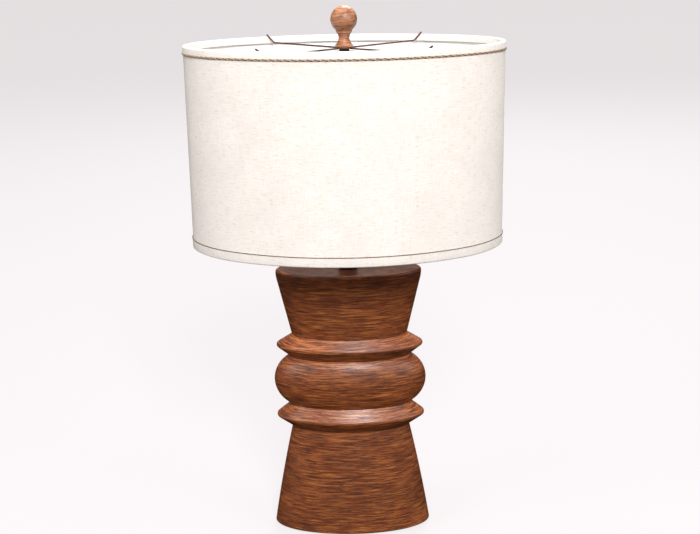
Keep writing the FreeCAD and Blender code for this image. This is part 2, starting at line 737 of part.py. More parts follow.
# Bulb: contact button, black insulator, rolled cap and a blown glass envelope.
button_top = bulb_z + button_tall
disc("bulb_button", button_across, 1, button_tall, bulb_z)
cap_inner = bulb_cap_across / 2 - brass_wall
turned("bulb_insulator", [(0, 0), (button_across / 2, 0), (cap_inner - 1, button_tall), (0, button_tall)],
       button_top)
bulb_cap_z = button_top + button_tall
cap_shoulder = 1
shoulder_tall = 2
turned("bulb_cap", [(cap_inner - cap_shoulder, 0), (bulb_cap_across / 2 - cap_shoulder, 0),
                    (bulb_cap_across / 2, shoulder_tall),
                    (bulb_cap_across / 2, bulb_cap_tall), (cap_inner, bulb_cap_tall),
                    (cap_inner, shoulder_tall)],
       bulb_cap_z)
glass_lap = 6
stem_taper = 2
ball = bulb_across / 2
ball_z = bulb_glass_tall + glass_lap - ball
tangent = math.radians(24)
neck_radius = bulb_neck / 2
stem_radius = cap_inner - part_ease * 2
turned("bulb_glass", [
    (stem_radius - glass_wall, 0), (stem_radius, 0), (stem_radius, glass_lap),
    (neck_radius, glass_lap + stem_taper),
    (ball * math.cos(tangent), ball_z - ball * math.sin(tangent), ball, 1), (0, glass_lap + bulb_glass_tall),
    (0, glass_lap + bulb_glass_tall - glass_wall, ball - glass_wall, -1),
    ((ball - glass_wall) * math.cos(tangent), ball_z - (ball - glass_wall) * math.sin(tangent)),
    (neck_radius - glass_wall, glass_lap + stem_taper), (stem_radius - glass_wall, glass_lap)],
    bulb_cap_z + bulb_cap_tall - glass_lap)

# Shade: linen on a stiff backing, wire rings in the turned edges, braid and piping outside.
half_width, half_depth = shade_width / 2, shade_depth / 2
cloth_in = cloth_thick + skin_gap
backing_in = cloth_in + cloth_thick + skin_gap
ring_in = backing_in + backing_thick + skin_gap * 2 + frame_wire / 2
edge_wide = ring_in + frame_wire / 2 + skin_gap * 5 + cloth_thick
ring_down = cloth_thick + skin_gap * 2 + frame_wire / 2
skin_z = shade_z + ring_down
skin_tall = shade_tall - ring_down * 2
ARCS_IN_QUARTER = 3


def outward(turn):
    """The way that a point of the shade's plan faces, by its turn from the back towards +X."""
    return Vector(math.sin(turn), math.cos(turn), 0)


def oval_arcs():
    """Tangent arcs from the back of the shade's plan round to its +X end.

    Each is (centre, radius, first turn, last turn). The middle radius is an ellipse's, and the
    two others close the width and the depth.
    """
    wide, deep = float(half_width), float(half_depth)
    turns = [math.pi / 2 * step / ARCS_IN_QUARTER for step in range(ARCS_IN_QUARTER + 1)]
    spans = list(zip(turns, turns[1:]))
    runs = [(math.sin(last) - math.sin(first), math.cos(first) - math.cos(last)) for first, last in spans]
    middle = math.pi / 4
    middle_radius = (wide * deep) ** 2 / math.hypot(wide * math.sin(middle), deep * math.cos(middle)) ** 3
    left_wide = wide - middle_radius * runs[1][0]
    left_deep = deep - middle_radius * runs[1][1]
    share = runs[0][0] * runs[2][1] - runs[2][0] * runs[0][1]
    radii = [(left_wide * runs[2][1] - left_deep * runs[2][0]) / share, middle_radius,
             (left_deep * runs[0][0] - left_wide * runs[0][1]) / share]
    arcs = [(Vector(0, deep - radii[0], 0), radii[0], *spans[0])]
    for (first, last), radius in zip(spans[1:], radii[1:]):
        centre, before = arcs[-1][:2]
        arcs.append((centre + outward(first) * (before - radius), radius, first, last))
    return arcs


plan_arcs = oval_arcs()


def plan_wire(inset, z):
    """The shade's plan as a closed wire, a distance inside its outer face."""
    quarter = []
    for centre, radius, first, last in plan_arcs:
        points = [centre + outward(turn) * (radius - float(inset)) + UP * float(z)
                  for turn in (first, (first + last) / 2, last)]
        quarter.append(Part.Arc(*points).toShape())
    half = quarter + [edge.mirror(CENTRE, Vector(1, 0, 0)) for edge in quarter]
    edges = half + [edge.mirror(CENTRE, Vector(0, 1, 0)) for edge in half]
    return Part.Wire(Part.__sortEdges__(edges))


def plan_reach(angle, inset):
    """How far the plan lies from the middle, at an angle from +X."""
    way = Vector(math.cos(angle), math.sin(angle), 0)
    for centre, radius, first, last in plan_arcs:
        along = centre.dot(way)
        reach = along + math.sqrt(along ** 2 - centre.dot(centre) + (radius - float(inset)) ** 2)
        facing = way * reach - centre
        if first <= math.atan2(facing.x, facing.y) <= last:
            return reach


def plain_band(label, inset, thick, tall, z):
    """An upright strip of even thickness that follows the shade's plan."""
    rims = [plan_wire(inset, z), plan_wire(inset + thick, z)]
    free_piece(label, Part.Face(rims, "Part::FaceMakerBullseye").extrude(UP * float(tall)))


def led_round(label, section, inset, z):
    """A section drawn at the +X end of the plan and led round it."""
    free_piece(label, plan_wire(inset, z).makePipeShell([section], True, False))


plain_band("shade_cloth", cloth_in, cloth_thick, skin_tall, skin_z)
plain_band("shade_backing", backing_in, backing_thick, skin_tall, skin_z)
for label, level in (("top_ring", rim_z - ring_down), ("bottom_ring", shade_z + ring_down)):
    ring_end = Vector(float(half_width - ring_in), 0, float(level))
    led_round(label, Part.Wire([Part.makeCircle(frame_wire.number / 2, ring_end, Vector(0, 1, 0))]),
              ring_in, level)

# Spider: a hub washer and four wire arms that run level, then rise over the top ring.
disc("spider_hub", hub_across, stud_thread + turn_ease * 2, hub_thick, hub_z)
turn = math.radians(float(arm_angle))
ring_reach = plan_reach(turn, ring_in)
arm_level = float(hub_z + hub_thick - arm_wire / 2)
arm_start = (hub_across.number / 2 + float(skin_gap), arm_level)
arm_corner = (ring_reach - float(arm_bend_back), arm_level)
arm_end = (ring_reach, float(rim_z - ring_down + arm_over_ring))
arm_path = Part.Wire(outline_edges(
    [arm_start, *rounded_corner(arm_start, arm_corner, arm_end, float(arm_bend_round)), arm_end]))
arm = wire_rod(arm_path, arm_path.Vertexes[0].Point, Vector(1, 0, 0), arm_wire)
arm_turns = [float(arm_angle), 180 - float(arm_angle), 180 + float(arm_angle), -float(arm_angle)]
free_piece("spider_arms", Part.makeCompound([arm.rotated(CENTRE, UP, degrees) for degrees in arm_turns]))


def turned_edge(label, open_z, closed_z):
    """The strip of linen that wraps a wire ring and both faces of the skin."""
    away = math.copysign(1, float(closed_z - open_z))
    outer, thick, wide = float(half_width), float(cloth_thick), float(edge_wide)
    near, far, rounding = float(open_z), float(closed_z), float(edge_round)
    side, under = far - away * rounding, far - away * thick
    bow = rounding * QUARTER_BOW * away
    corners = [(0, near), (0, side, bow), (rounding, far), (wide - rounding, far, bow), (wide, side),
               (wide, near), (wide - thick, near), (wide - thick, side), (wide - rounding, under),
               (rounding, under), (thick, side), (thick, near), (0, near)]
    section = [(outer - inset, *rest) for inset, *rest in corners]
    led_round(label, Part.Wire(outline_edges(section)), 0, near)


turned_edge("top_band", rim_z - top_band_tall, rim_z)
turned_edge("bottom_band", shade_z + bottom_band_tall, shade_z)
plain_band("top_braid", -braid_proud, braid_proud + cloth_thick, braid_tall,
           rim_z - top_band_tall - braid_tall - skin_gap)
plain_band("bottom_piping", braid_proud / -2, braid_proud / 2 + cloth_thick, piping_tall,
           shade_z + bottom_band_tall + skin_gap)

# Finial: a turned wooden ball on a waisted foot, with a threaded brass insert.
insert_bore = stud_thread / 2 + turn_ease
insert_hole = insert_across / 2 + dowel_ease / 2
ball_radius = finial_ball / 2
ball_mid = finial_tall - ball_radius
ball_low_angle = math.radians(41)
foot_radius = finial_foot / 2
waist_radius = finial_waist / 2
foot_chamfer = 0.6
foot_rim_top = 2.2
foot_step = 0.8
flare_start, flare_bend = 2.8, 13
waist_up, waist_bend = 11.5, 12
bead_radius = waist_radius + 3.4
bead_chamfer, bead_fall = 1, 0.4
bead_low, bead_mid, bead_top = 17.6, 18.4, 19.4
under_ball_bend = 9
hole_spare = 1
turned("finial", [(insert_hole, 0), (foot_radius - foot_chamfer, 0), (foot_radius, foot_chamfer),
                  (foot_radius, foot_rim_top), (foot_radius - foot_step, flare_start, flare_bend, -1),
                  (waist_radius, waist_up, waist_bend, -1), (bead_radius - bead_chamfer, bead_low),
                  (bead_radius, bead_mid), (bead_radius - bead_fall, bead_top, under_ball_bend, -1),
                  (ball_radius * math.cos(ball_low_angle), ball_mid - ball_radius * math.sin(ball_low_angle),
                   ball_radius, 1),
                  (0, finial_tall), (0, insert_tall + hole_spare), (insert_hole, insert_tall + hole_spare)],
       finial_z)
disc("finial_insert", insert_across, insert_bore * 2, insert_tall, finial_z)

doc.recompute()
faults = [item.Label for item in doc.Objects if {"Invalid", "Error"} & set(item.State)]
if faults:
    raise RuntimeError(f"failed: {faults}")
os.makedirs("parts", exist_ok=True)
for node in nodes:
    if node.Shape.isNull() or not node.Shape.isValid() or not node.Shape.Solids:
        raise RuntimeError(f"bad shape: {node.Label}")
for node in nodes:
    node.Shape.exportStep(f"parts/{node.Label}.step")
print(len(nodes), "sub-parts written")
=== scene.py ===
import math

import bmesh
import bpy
from mathutils import Matrix, Vector


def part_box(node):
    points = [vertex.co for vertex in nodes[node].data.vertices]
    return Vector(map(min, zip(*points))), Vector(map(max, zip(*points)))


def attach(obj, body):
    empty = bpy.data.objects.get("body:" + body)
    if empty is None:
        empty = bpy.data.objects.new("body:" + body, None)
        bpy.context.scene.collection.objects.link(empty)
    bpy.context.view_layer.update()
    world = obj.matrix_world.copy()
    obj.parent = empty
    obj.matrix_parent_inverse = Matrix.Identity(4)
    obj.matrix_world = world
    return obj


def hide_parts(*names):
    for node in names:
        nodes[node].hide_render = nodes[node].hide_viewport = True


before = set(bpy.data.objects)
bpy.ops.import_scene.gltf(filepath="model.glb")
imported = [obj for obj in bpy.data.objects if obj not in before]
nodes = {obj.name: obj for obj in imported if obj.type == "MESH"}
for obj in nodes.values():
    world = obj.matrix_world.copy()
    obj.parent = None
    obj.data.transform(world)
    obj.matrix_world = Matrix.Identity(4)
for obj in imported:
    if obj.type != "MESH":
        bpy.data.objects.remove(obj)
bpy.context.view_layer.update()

# Column table lamp: stained oval wooden column, oval linen drum shade on a harp, ball finial.
# Metres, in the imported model's own frame: +Z up, the front faces -Y.
MM = 0.001

# The photograph's view. A camera a metre and a half away looks down on the lamp a little, and is
# turned a degree, so the lamp stands a touch off plumb in the frame. Angles are in radians.
SENSOR_WIDTH = 36.0
IMAGE_WIDTH = 700
FOCAL_PIXELS = 1156.4
CAMERA_PLACE = (2.4 * MM, -1475 * MM, 790.2 * MM)
LOOKS_DOWN = 0.2779
CAMERA_ROLL = -0.0177

camera = bpy.data.objects.new("camera", bpy.data.cameras.new("camera"))
bpy.context.scene.collection.objects.link(camera)
camera.data.sensor_width = SENSOR_WIDTH
camera.data.lens = FOCAL_PIXELS * SENSOR_WIDTH / IMAGE_WIDTH
camera.matrix_world = (Matrix.Translation(CAMERA_PLACE)
                       @ Matrix.Rotation(math.pi / 2 - LOOKS_DOWN, 4, "X")
                       @ Matrix.Rotation(CAMERA_ROLL, 4, "Z"))
bpy.context.scene.camera = camera
bpy.context.scene.view_settings.view_transform = "Standard"

# Floor: one wide disc of matt paint that keeps the lamp's shadow. The camera sees it pale; the
# light that it throws back on the lamp is weaker, so that the undersides stay dark. It lies a
# hair low, so that it doesn't share a plane with the felt.
FLOOR_RADIUS = 40.0
FLOOR_DROP = 0.1 * MM
FLOOR_GLOW = 0.74


def colour(text):
    """An sRGB hex colour as the linear values that a socket takes."""
    shares = [int(text[place:place + 2], 16) / 255 for place in (1, 3, 5)]
    return [share / 12.92 if share <= 0.04045 else ((share + 0.055) / 1.055) ** 2.4
            for share in shares] + [1.0]


def add(owner, kind, inputs=None, stops=None, **settings):
    """Add a node to a material or world.

    Inputs take values or other nodes' outputs. The stops of a ramp are (place, tone), lowest first.
    """
    node = owner.node_tree.nodes.new("ShaderNode" + kind)
    for name, value in settings.items():
        setattr(node, name, value)
    for name, value in (inputs or {}).items():
        if isinstance(value, bpy.types.NodeSocket):
            owner.node_tree.links.new(value, node.inputs[name])
        else:
            node.inputs[name].default_value = value
    for index, (place, tone) in enumerate(stops or []):
        band = node.color_ramp.elements
        stop = band[index] if index < len(band) else band.new(place)
        stop.position, stop.color = place, colour(tone)
    return node


def empty_material(name):
    """A material with no nodes yet."""
    material = bpy.data.materials.new(name)
    material.use_nodes = True
    material.node_tree.nodes.clear()
    return material


def seen_straight(owner):
    """1 for what the camera sees straight or through glass, 0 for light on its way to a surface."""
    rays = add(owner, "LightPath")
    return add(owner, "Math", {0: rays.outputs["Is Camera Ray"], 1: rays.outputs["Is Transmission Ray"]},
               operation="MAXIMUM").outputs[0]


def new_piece(name, shape, finish):
    """Turn a finished bmesh into an object of one finish."""
    data = bpy.data.meshes.new(name)
    shape.to_mesh(data)
    shape.free()
    data.materials.append(finish)
    piece = bpy.data.objects.new(name, data)
    bpy.context.scene.collection.objects.link(piece)
    return piece


floor_paint = empty_material("matt_floor_paint")
seen = seen_straight(floor_paint)
paint_tone = add(floor_paint, "MixRGB", {"Fac": seen, "Color1": colour("#33261f"),
                                         "Color2": colour("#6f6b6c")})
paint = add(floor_paint, "BsdfDiffuse", {"Color": paint_tone.outputs[0]})
glow_share = add(floor_paint, "Math", {0: seen, 1: FLOOR_GLOW}, operation="MULTIPLY")
glow = add(floor_paint, "Emission", {"Color": colour("#fffbfc"), "Strength": glow_share.outputs[0]})
both = add(floor_paint, "AddShader", {0: paint.outputs[0], 1: glow.outputs[0]})
add(floor_paint, "OutputMaterial", {"Surface": both.outputs[0]})

shape = bmesh.new()
bmesh.ops.create_circle(shape, cap_ends=True, segments=64, radius=FLOOR_RADIUS)
floor = new_piece("floor", shape, floor_paint)
floor.location.z = -FLOOR_DROP

# Light: a large soft lamp high on the right of the front, weaker ones overhead, on both sides
# and behind, and an even pale room.
AIM_HEIGHT = 420 * MM
ROOM_STRENGTH = 0.2


def soft_lamp(name, azimuth, elevation, distance, across, power):
    """A square lamp aimed at the middle, in degrees to the right of the front and above level."""
    turn, rise = math.radians(azimuth), math.radians(elevation)
    way = Vector((math.sin(turn) * math.cos(rise), -math.cos(turn) * math.cos(rise), math.sin(rise)))
    lamp = bpy.data.objects.new(name, bpy.data.lights.new(name, "AREA"))
    lamp.data.shape, lamp.data.size, lamp.data.energy = "SQUARE", across, power
    lamp.location = Vector((0, 0, AIM_HEIGHT)) + way * distance
    lamp.rotation_euler = way.to_track_quat("Z", "Y").to_euler()
    bpy.context.scene.collection.objects.link(lamp)


soft_lamp("key_lamp", azimuth=8, elevation=36, distance=4.0, across=1.2, power=150)
soft_lamp("top_lamp", azimuth=0, elevation=88, distance=3.2, across=2.2, power=44)
soft_lamp("left_lamp", azimuth=-62, elevation=25, distance=3.6, across=2.0, power=48)
soft_lamp("right_lamp", azimuth=66, elevation=25, distance=3.6, across=2.0, power=36)
soft_lamp("back_lamp", azimuth=170, elevation=38, distance=4.0, across=1.6, power=90)

room = bpy.data.worlds.new("room")
bpy.context.scene.world = room
room.use_nodes = True
room.node_tree.nodes.clear()
wall_tone = add(room, "Background", {"Color": colour("#fbf8f9"), "Strength": 1.0})
room_light = add(room, "Background", {"Color": colour("#fff6f2"), "Strength": ROOM_STRENGTH})
both = add(room, "MixShader", {0: seen_straight(room), 1: room_light.outputs[0],
                               2: wall_tone.outputs[0]})
add(room, "OutputWorld", {"Surface": both.outputs[0]})

# Column: five carved sections of an open-pored hardwood, wire-brushed, stained walnut brown and
# finished in satin lacquer. The brushing leaves level streaks all round. Faces that look up are
# drawn paler, as painted light from above, and the cup's flat top is filled and lacquered smooth.
STREAK_LONG, STREAK_TALL = 26 * MM, 1.15 * MM
PORE_LONG, PORE_TALL = 12 * MM, 0.8 * MM
PATCH = 70 * MM
WALNUT_TONES = ("#461e0e", "#7c3e1e", "#b06e3a")


def dress(finish, *names):
    """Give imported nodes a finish."""
    for name in names:
        nodes[name].material_slots[0].material = finish


def brushed_wood(name, tones, streak_long, streak_tall, pore_long, pore_tall, patch):
    """Stained wood with streaks that run level, in a dark, a middle and a light tone."""
    wood = empty_material(name)
    place = add(wood, "TexCoord")

    # Broad patches, which also let the streaks wander up and down.
    patch_scale = add(wood, "Mapping", {"Vector": place.outputs["Object"],
                                        "Scale": (1 / patch, 1 / patch, 2 / patch)})
    patches = add(wood, "TexNoise", {"Vector": patch_scale.outputs[0], "Scale": 1.0, "Detail": 2.0})
    wander = add(wood, "MapRange", {"Value": patches.outputs[0], "To Min": -streak_tall * 1.6,
                                    "To Max": streak_tall * 1.6})
    lift = add(wood, "CombineXYZ", {"Z": wander.outputs[0]})
    wandered = add(wood, "VectorMath", {0: place.outputs["Object"], 1: lift.outputs[0]},
                   operation="ADD")

    # Streaks and open pores. Real pores are about a quarter of a millimetre wide; they are drawn
    # coarser, so that they show.
    streak_scale = add(wood, "Mapping", {"Vector": wandered.outputs[0],
                                         "Scale": (1 / streak_long, 1 / streak_long, 1 / streak_tall)})
    streaks = add(wood, "TexNoise", {"Vector": streak_scale.outputs[0], "Scale": 1.0, "Detail": 3.0,
                                     "Roughness": 0.62})
    pore_scale = add(wood, "Mapping", {"Vector": wandered.outputs[0],
                                       "Scale": (1 / pore_long, 1 / pore_long, 1 / pore_tall)})
    pores = add(wood, "TexNoise", {"Vector": pore_scale.outputs[0], "Scale": 1.0, "Detail": 2.0,
                                   "Roughness": 0.5})
    open_pores = add(wood, "MapRange", {"Value": pores.outputs[0], "From Min": 0.56, "From Max": 0.70})

    # Stain: streak tones, patchy, dark in the pores, with painted light: faces that look up are paler.
    dark, middle, light = tones
    tone = add(wood, "ValToRGB", {"Fac": streaks.outputs[0]},
               stops=[(0.34, dark), (0.50, middle), (0.68, light)])
    patchy = add(wood, "MapRange", {"Value": patches.outputs[0], "From Min": 0.3, "From Max": 0.7,
                                    "To Min": 0.78, "To Max": 1.18})
    facing = add(wood, "SeparateXYZ", {0: place.outputs["Normal"]})
    # Painted light from above: faces that look up are drawn up to half again as bright.
    painted_top_light = add(wood, "MapRange", {"Value": facing.outputs["Z"], "From Min": 0.2, "From Max": 0.8,
                                    "To Min": 1.0, "To Max": 1.45})
    patches_and_top_light = add(wood, "Math", {0: patchy.outputs[0], 1: painted_top_light.outputs[0]}, operation="MULTIPLY")
    toned = add(wood, "HueSaturation", {"Color": tone.outputs[0], "Value": patches_and_top_light.outputs[0]})
    pored = add(wood, "MixRGB", {"Fac": open_pores.outputs[0], "Color1": toned.outputs[0],
                                 "Color2": colour("#2b140b")})

    # A flat top is filled, which evens its tone, and has a smoother and thicker lacquer.
    flat_top = add(wood, "MapRange", {"Value": facing.outputs["Z"], "From Min": 0.985,
                                      "From Max": 0.995})
    filled = add(wood, "Math", {0: flat_top.outputs[0], 1: 0.75}, operation="MULTIPLY")
    stained = add(wood, "MixRGB", {"Fac": filled.outputs[0], "Color1": pored.outputs[0],
                                   "Color2": colour("#62382a")})
    coat = add(wood, "MapRange", {"Value": flat_top.outputs[0], "To Min": 0.2, "To Max": 1.0})
    coat_dull = add(wood, "MapRange", {"Value": flat_top.outputs[0], "To Min": 0.28, "To Max": 0.08})

    # Brushed surface: pale streaks stand up and are smoother, pores are sunk.
    relief = add(wood, "Math", {0: streaks.outputs[0], 1: open_pores.outputs[0]},
                 operation="SUBTRACT")
    bump = add(wood, "Bump", {"Height": relief.outputs[0], "Strength": 0.45, "Distance": 0.25 * MM})
    sheen = add(wood, "MapRange", {"Value": streaks.outputs[0], "From Min": 0.3, "From Max": 0.7,
                                   "To Min": 0.54, "To Max": 0.40})
    shader = add(wood, "BsdfPrincipled", {"Base Color": stained.outputs[0],
                                          "Roughness": sheen.outputs[0],
                                          "Normal": bump.outputs[0], "Coat Weight": coat.outputs[0],
                                          "Coat Roughness": coat_dull.outputs[0], "Coat IOR": 1.6})
    add(wood, "OutputMaterial", {"Surface": shader.outputs[0]})
    return wood


column_wood = brushed_wood("walnut_stained_brushed_wood", WALNUT_TONES, STREAK_LONG, STREAK_TALL,
                           PORE_LONG, PORE_TALL, PATCH)
dress(column_wood, "foot_section", "lower_collar", "swell_ring", "upper_collar", "cup_section")

# Finial: a ball turned from the same wood and stained a shade paler. Its grain is shorter and
# more even, so that it suits the small size.
FINIAL_TONES = ("#7b482e", "#9f6846", "#ba8560")
finial_wood = brushed_wood("walnut_stained_turned_wood", FINIAL_TONES, streak_long=12 * MM,
                           streak_tall=1.6 * MM, pore_long=8 * MM, pore_tall=0.8 * MM, patch=22 * MM)
dress(finial_wood, "finial")

# Pegs that line the column's sections up: plain beech dowel, dry and unstained, with its grain
# upright.
BEECH_ACROSS, BEECH_LONG = 0.8 * MM, 14 * MM
beech = empty_material("dry_beech")
place = add(beech, "TexCoord")
grain_scale = add(beech, "Mapping", {"Vector": place.outputs["Object"],
                                     "Scale": (1 / BEECH_ACROSS, 1 / BEECH_ACROSS, 1 / BEECH_LONG)})
grain = add(beech, "TexNoise", {"Vector": grain_scale.outputs[0], "Scale": 1.0, "Detail": 3.0})
tone = add(beech, "ValToRGB", {"Fac": grain.outputs[0]}, stops=[(0.3, "#b48a5e"), (0.7, "#d9b88c")])
shader = add(beech, "BsdfPrincipled", {"Base Color": tone.outputs[0], "Roughness": 0.75})
add(beech, "OutputMaterial", {"Surface": shader.outputs[0]})
dress(beech, "locating_dowels")

# Inside the foot: a sand-cast iron weight, bright zinc-plated nuts and washers on a plated pipe,
# and a pressed fibreboard floor with two plated screws. The bushing for the lead is black nylon,
# and so is the switch key higher up. The plated saddle of the harp has the pipe's finish.


def grained(name, dark, light, grain, depth, roughness, metallic=0.0, **sockets):
    """A finish whose tone, roughness and surface vary with a grain of one size."""
    finish = empty_material(name)
    place = add(finish, "TexCoord")
    speckle = add(finish, "TexNoise", {"Vector": place.outputs["Object"], "Scale": 1 / grain,
                                       "Detail": 4.0, "Roughness": 0.6})
    tone = add(finish, "ValToRGB", {"Fac": speckle.outputs[0]}, stops=[(0.32, dark), (0.68, light)])
    dull = add(finish, "MapRange", {"Value": speckle.outputs[0], "From Min": 0.3, "From Max": 0.7,
                                    "To Min": roughness * 1.18, "To Max": roughness * 0.85})
    bump = add(finish, "Bump", {"Height": speckle.outputs[0], "Strength": 0.5, "Distance": depth})
    extra = {key.replace("_", " "): value for key, value in sockets.items()}
    shader = add(finish, "BsdfPrincipled", {"Base Color": tone.outputs[0], "Metallic": metallic,
                                            "Roughness": dull.outputs[0],
                                            "Normal": bump.outputs[0], **extra})
    add(finish, "OutputMaterial", {"Surface": shader.outputs[0]})
    return finish


cast_iron = grained("sand_cast_iron", "#2b2a2a", "#45423f", grain=1.6 * MM, depth=0.3 * MM,
                    roughness=0.72, metallic=0.9)
dress(cast_iron, "ballast_weight")
zinc = grained("zinc_plated_steel", "#a3a6a6", "#c9cbca", grain=2.4 * MM, depth=0.02 * MM,
               roughness=0.34, metallic=1.0)
dress(zinc, "lower_washer", "lower_nut", "top_washer", "top_nut", "threaded_pipe", "floor_screws",
      "harp_saddle")
fibreboard = grained("pressed_fibreboard", "#6f5138", "#93704e", grain=1.2 * MM, depth=0.1 * MM,
                     roughness=0.82)
dress(fibreboard, "floor_plate")
nylon = grained("moulded_black_nylon", "#121212", "#1e1d1c", grain=0.5 * MM, depth=0.02 * MM,
                roughness=0.48)
dress(nylon, "outlet_bushing", "switch_knob")

# Felt under the foot: an oval cut from brown wool felt, a little smaller than the foot, and
# glued to the floor plate, so that it lies dead flat.
FELT_SEGMENTS = 96
felt_low, felt_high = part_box("felt_pad")


def thicken(piece, thick):
    """Give a sheet its thickness, on the inner side of its faces."""
    thickness = piece.modifiers.new("thickness", "SOLIDIFY")
    thickness.thickness, thickness.offset = thick, -1


wool_felt = grained("wool_felt", "#2d251f", "#453a31", grain=0.8 * MM, depth=0.25 * MM,
                    roughness=0.95, Sheen_Weight=0.4)
shape = bmesh.new()
bmesh.ops.create_circle(shape, cap_ends=True, segments=FELT_SEGMENTS, radius=1.0)
bmesh.ops.scale(shape, verts=shape.verts, vec=(felt_high.x, felt_high.y, 1.0))
bmesh.ops.reverse_faces(shape, faces=shape.faces)
felt = new_piece("foot_felt", shape, wool_felt)
thicken(felt, felt_high.z - felt_low.z)
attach(felt, "stand")
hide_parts("felt_pad")

# Neck and harp: steel tube and wire, plated and darkened to antique bronze. The spider's wires
# and hub come with the shade, in a redder bronze.
bronze = grained("antique_bronze_plate", "#1f1613", "#3d2b23", grain=5 * MM, depth=0.03 * MM,
                 roughness=0.40, metallic=0.8)
dress(bronze, "neck", "harp", "sleeve_left", "sleeve_right", "harp_stud")
copper_bronze = grained("copper_bronze_plate", "#4a2f28", "#70483c", grain=5 * MM, depth=0.03 * MM,
                        roughness=0.42, metallic=0.6)
dress(copper_bronze, "spider_hub", "spider_arms")

# Lamp holder: spun brass cap and shell over a card liner, on a moulded phenolic core. The screw
# shell, the contact, the switch shaft and the finial's threaded insert are brass too.
brass = grained("spun_brass", "#b08a45", "#d6b265", grain=7 * MM, depth=0.02 * MM,
                roughness=0.30, metallic=1.0)
dress(brass, "socket_cap", "socket_shell", "screw_shell", "centre_contact", "switch_shaft",
      "finial_insert")
card = grained("insulating_card", "#a88f68", "#c4ad85", grain=1.4 * MM, depth=0.05 * MM,
               roughness=0.85)
dress(card, "shell_liner")
phenolic = grained("moulded_phenolic", "#171312", "#262020", grain=0.9 * MM, depth=0.02 * MM,
                   roughness=0.42)
dress(phenolic, "socket_core")

# Bulb, unlit: etched opal glass cemented in a rolled aluminium cap, with a soldered button on a
# black glass insulator.
aluminium = grained("rolled_aluminium", "#b9babc", "#d8d9da", grain=2 * MM, depth=0.02 * MM,
                    roughness=0.32, metallic=1.0)
dress(aluminium, "bulb_cap")
solder = grained("tin_solder", "#9fa0a0", "#c0c0bd", grain=1.2 * MM, depth=0.05 * MM,
                 roughness=0.4, metallic=1.0)
dress(solder, "bulb_button")
vitrite = grained("black_vitrite_glass", "#0c0c0e", "#17171a", grain=2 * MM, depth=0.01 * MM,
                  roughness=0.12)
dress(vitrite, "bulb_insulator")
opal = grained("etched_opal_glass", "#f2f1ee", "#fbfaf8", grain=9 * MM, depth=0.01 * MM,
               roughness=0.38, Coat_Weight=0.2)
dress(opal, "bulb_glass")

# Shade skin: cream linen with uneven slub threads both ways, laminated to a stiff white sheet and
# led round the frame's oval, which is bent from tangent arcs, three to a quarter. Real threads
# are about half a millimetre wide; they are drawn coarser, so that they show.
CLOTH_THICK = 0.6 * MM
SKIN_ROWS = 12
ARC_STEPS = 13
WEFT_LONG, WARP_LONG, THREAD = 22 * MM, 16 * MM, 0.9 * MM
SLUB_LONG, SLUB_TALL = 9 * MM, 1.6 * MM
LINEN_PATCH = 45 * MM
half_wide, half_deep, rim_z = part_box("top_band")[1]
skin_low, skin_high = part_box("shade_cloth")
cloth_in = half_wide - skin_high.x


def outward(turn):
    """The level direction that is turned from the back of the lamp towards +X."""
    return Vector((math.sin(turn), math.cos(turn), 0))


def quarter_arcs():
    """The arcs from the back round to the +X end, as (centre, radius, first turn, last turn)."""
    turns = [0, math.pi / 6, math.pi / 3, math.pi / 2]
    spans = list(zip(turns, turns[1:]))
    runs = [(math.sin(last) - math.sin(first), math.cos(first) - math.cos(last))
            for first, last in spans]
    middle = math.pi / 4
    middle_radius = ((half_wide * half_deep) ** 2
                     / math.hypot(half_wide * math.sin(middle), half_deep * math.cos(middle)) ** 3)
    left_wide = half_wide - middle_radius * runs[1][0]
    left_deep = half_deep - middle_radius * runs[1][1]
    share = runs[0][0] * runs[2][1] - runs[2][0] * runs[0][1]
    radii = [(left_wide * runs[2][1] - left_deep * runs[2][0]) / share, middle_radius,
             (left_deep * runs[0][0] - left_wide * runs[0][1]) / share]
    arcs = [(Vector((0, half_deep - radii[0], 0)), radii[0], *spans[0])]
    for (first, last), radius in zip(spans[1:], radii[1:]):
        centre, before = arcs[-1][:2]
        arcs.append((centre + outward(first) * (before - radius), radius, first, last))
    return arcs


def whole_plan():
    """All twelve arcs in order, clockwise from the back as seen from above."""
    quarter = quarter_arcs()
    mirrored = [(centre, radius, -last, -first) for centre, radius, first, last in quarter[::-1]]
    arcs = list(quarter)
    for arcs_here, flip_x, flip_y, start in ((mirrored, 1, -1, math.pi), (quarter, -1, -1, math.pi),
                                             (mirrored, -1, 1, 2 * math.pi)):
        for centre, radius, first, last in arcs_here:
            flipped = Vector((centre.x * flip_x, centre.y * flip_y, 0))
            arcs.append((flipped, radius, start + first, start + last))
    return arcs


plan = whole_plan()
perimeter = sum(radius * (last - first) for _, radius, first, last in plan)


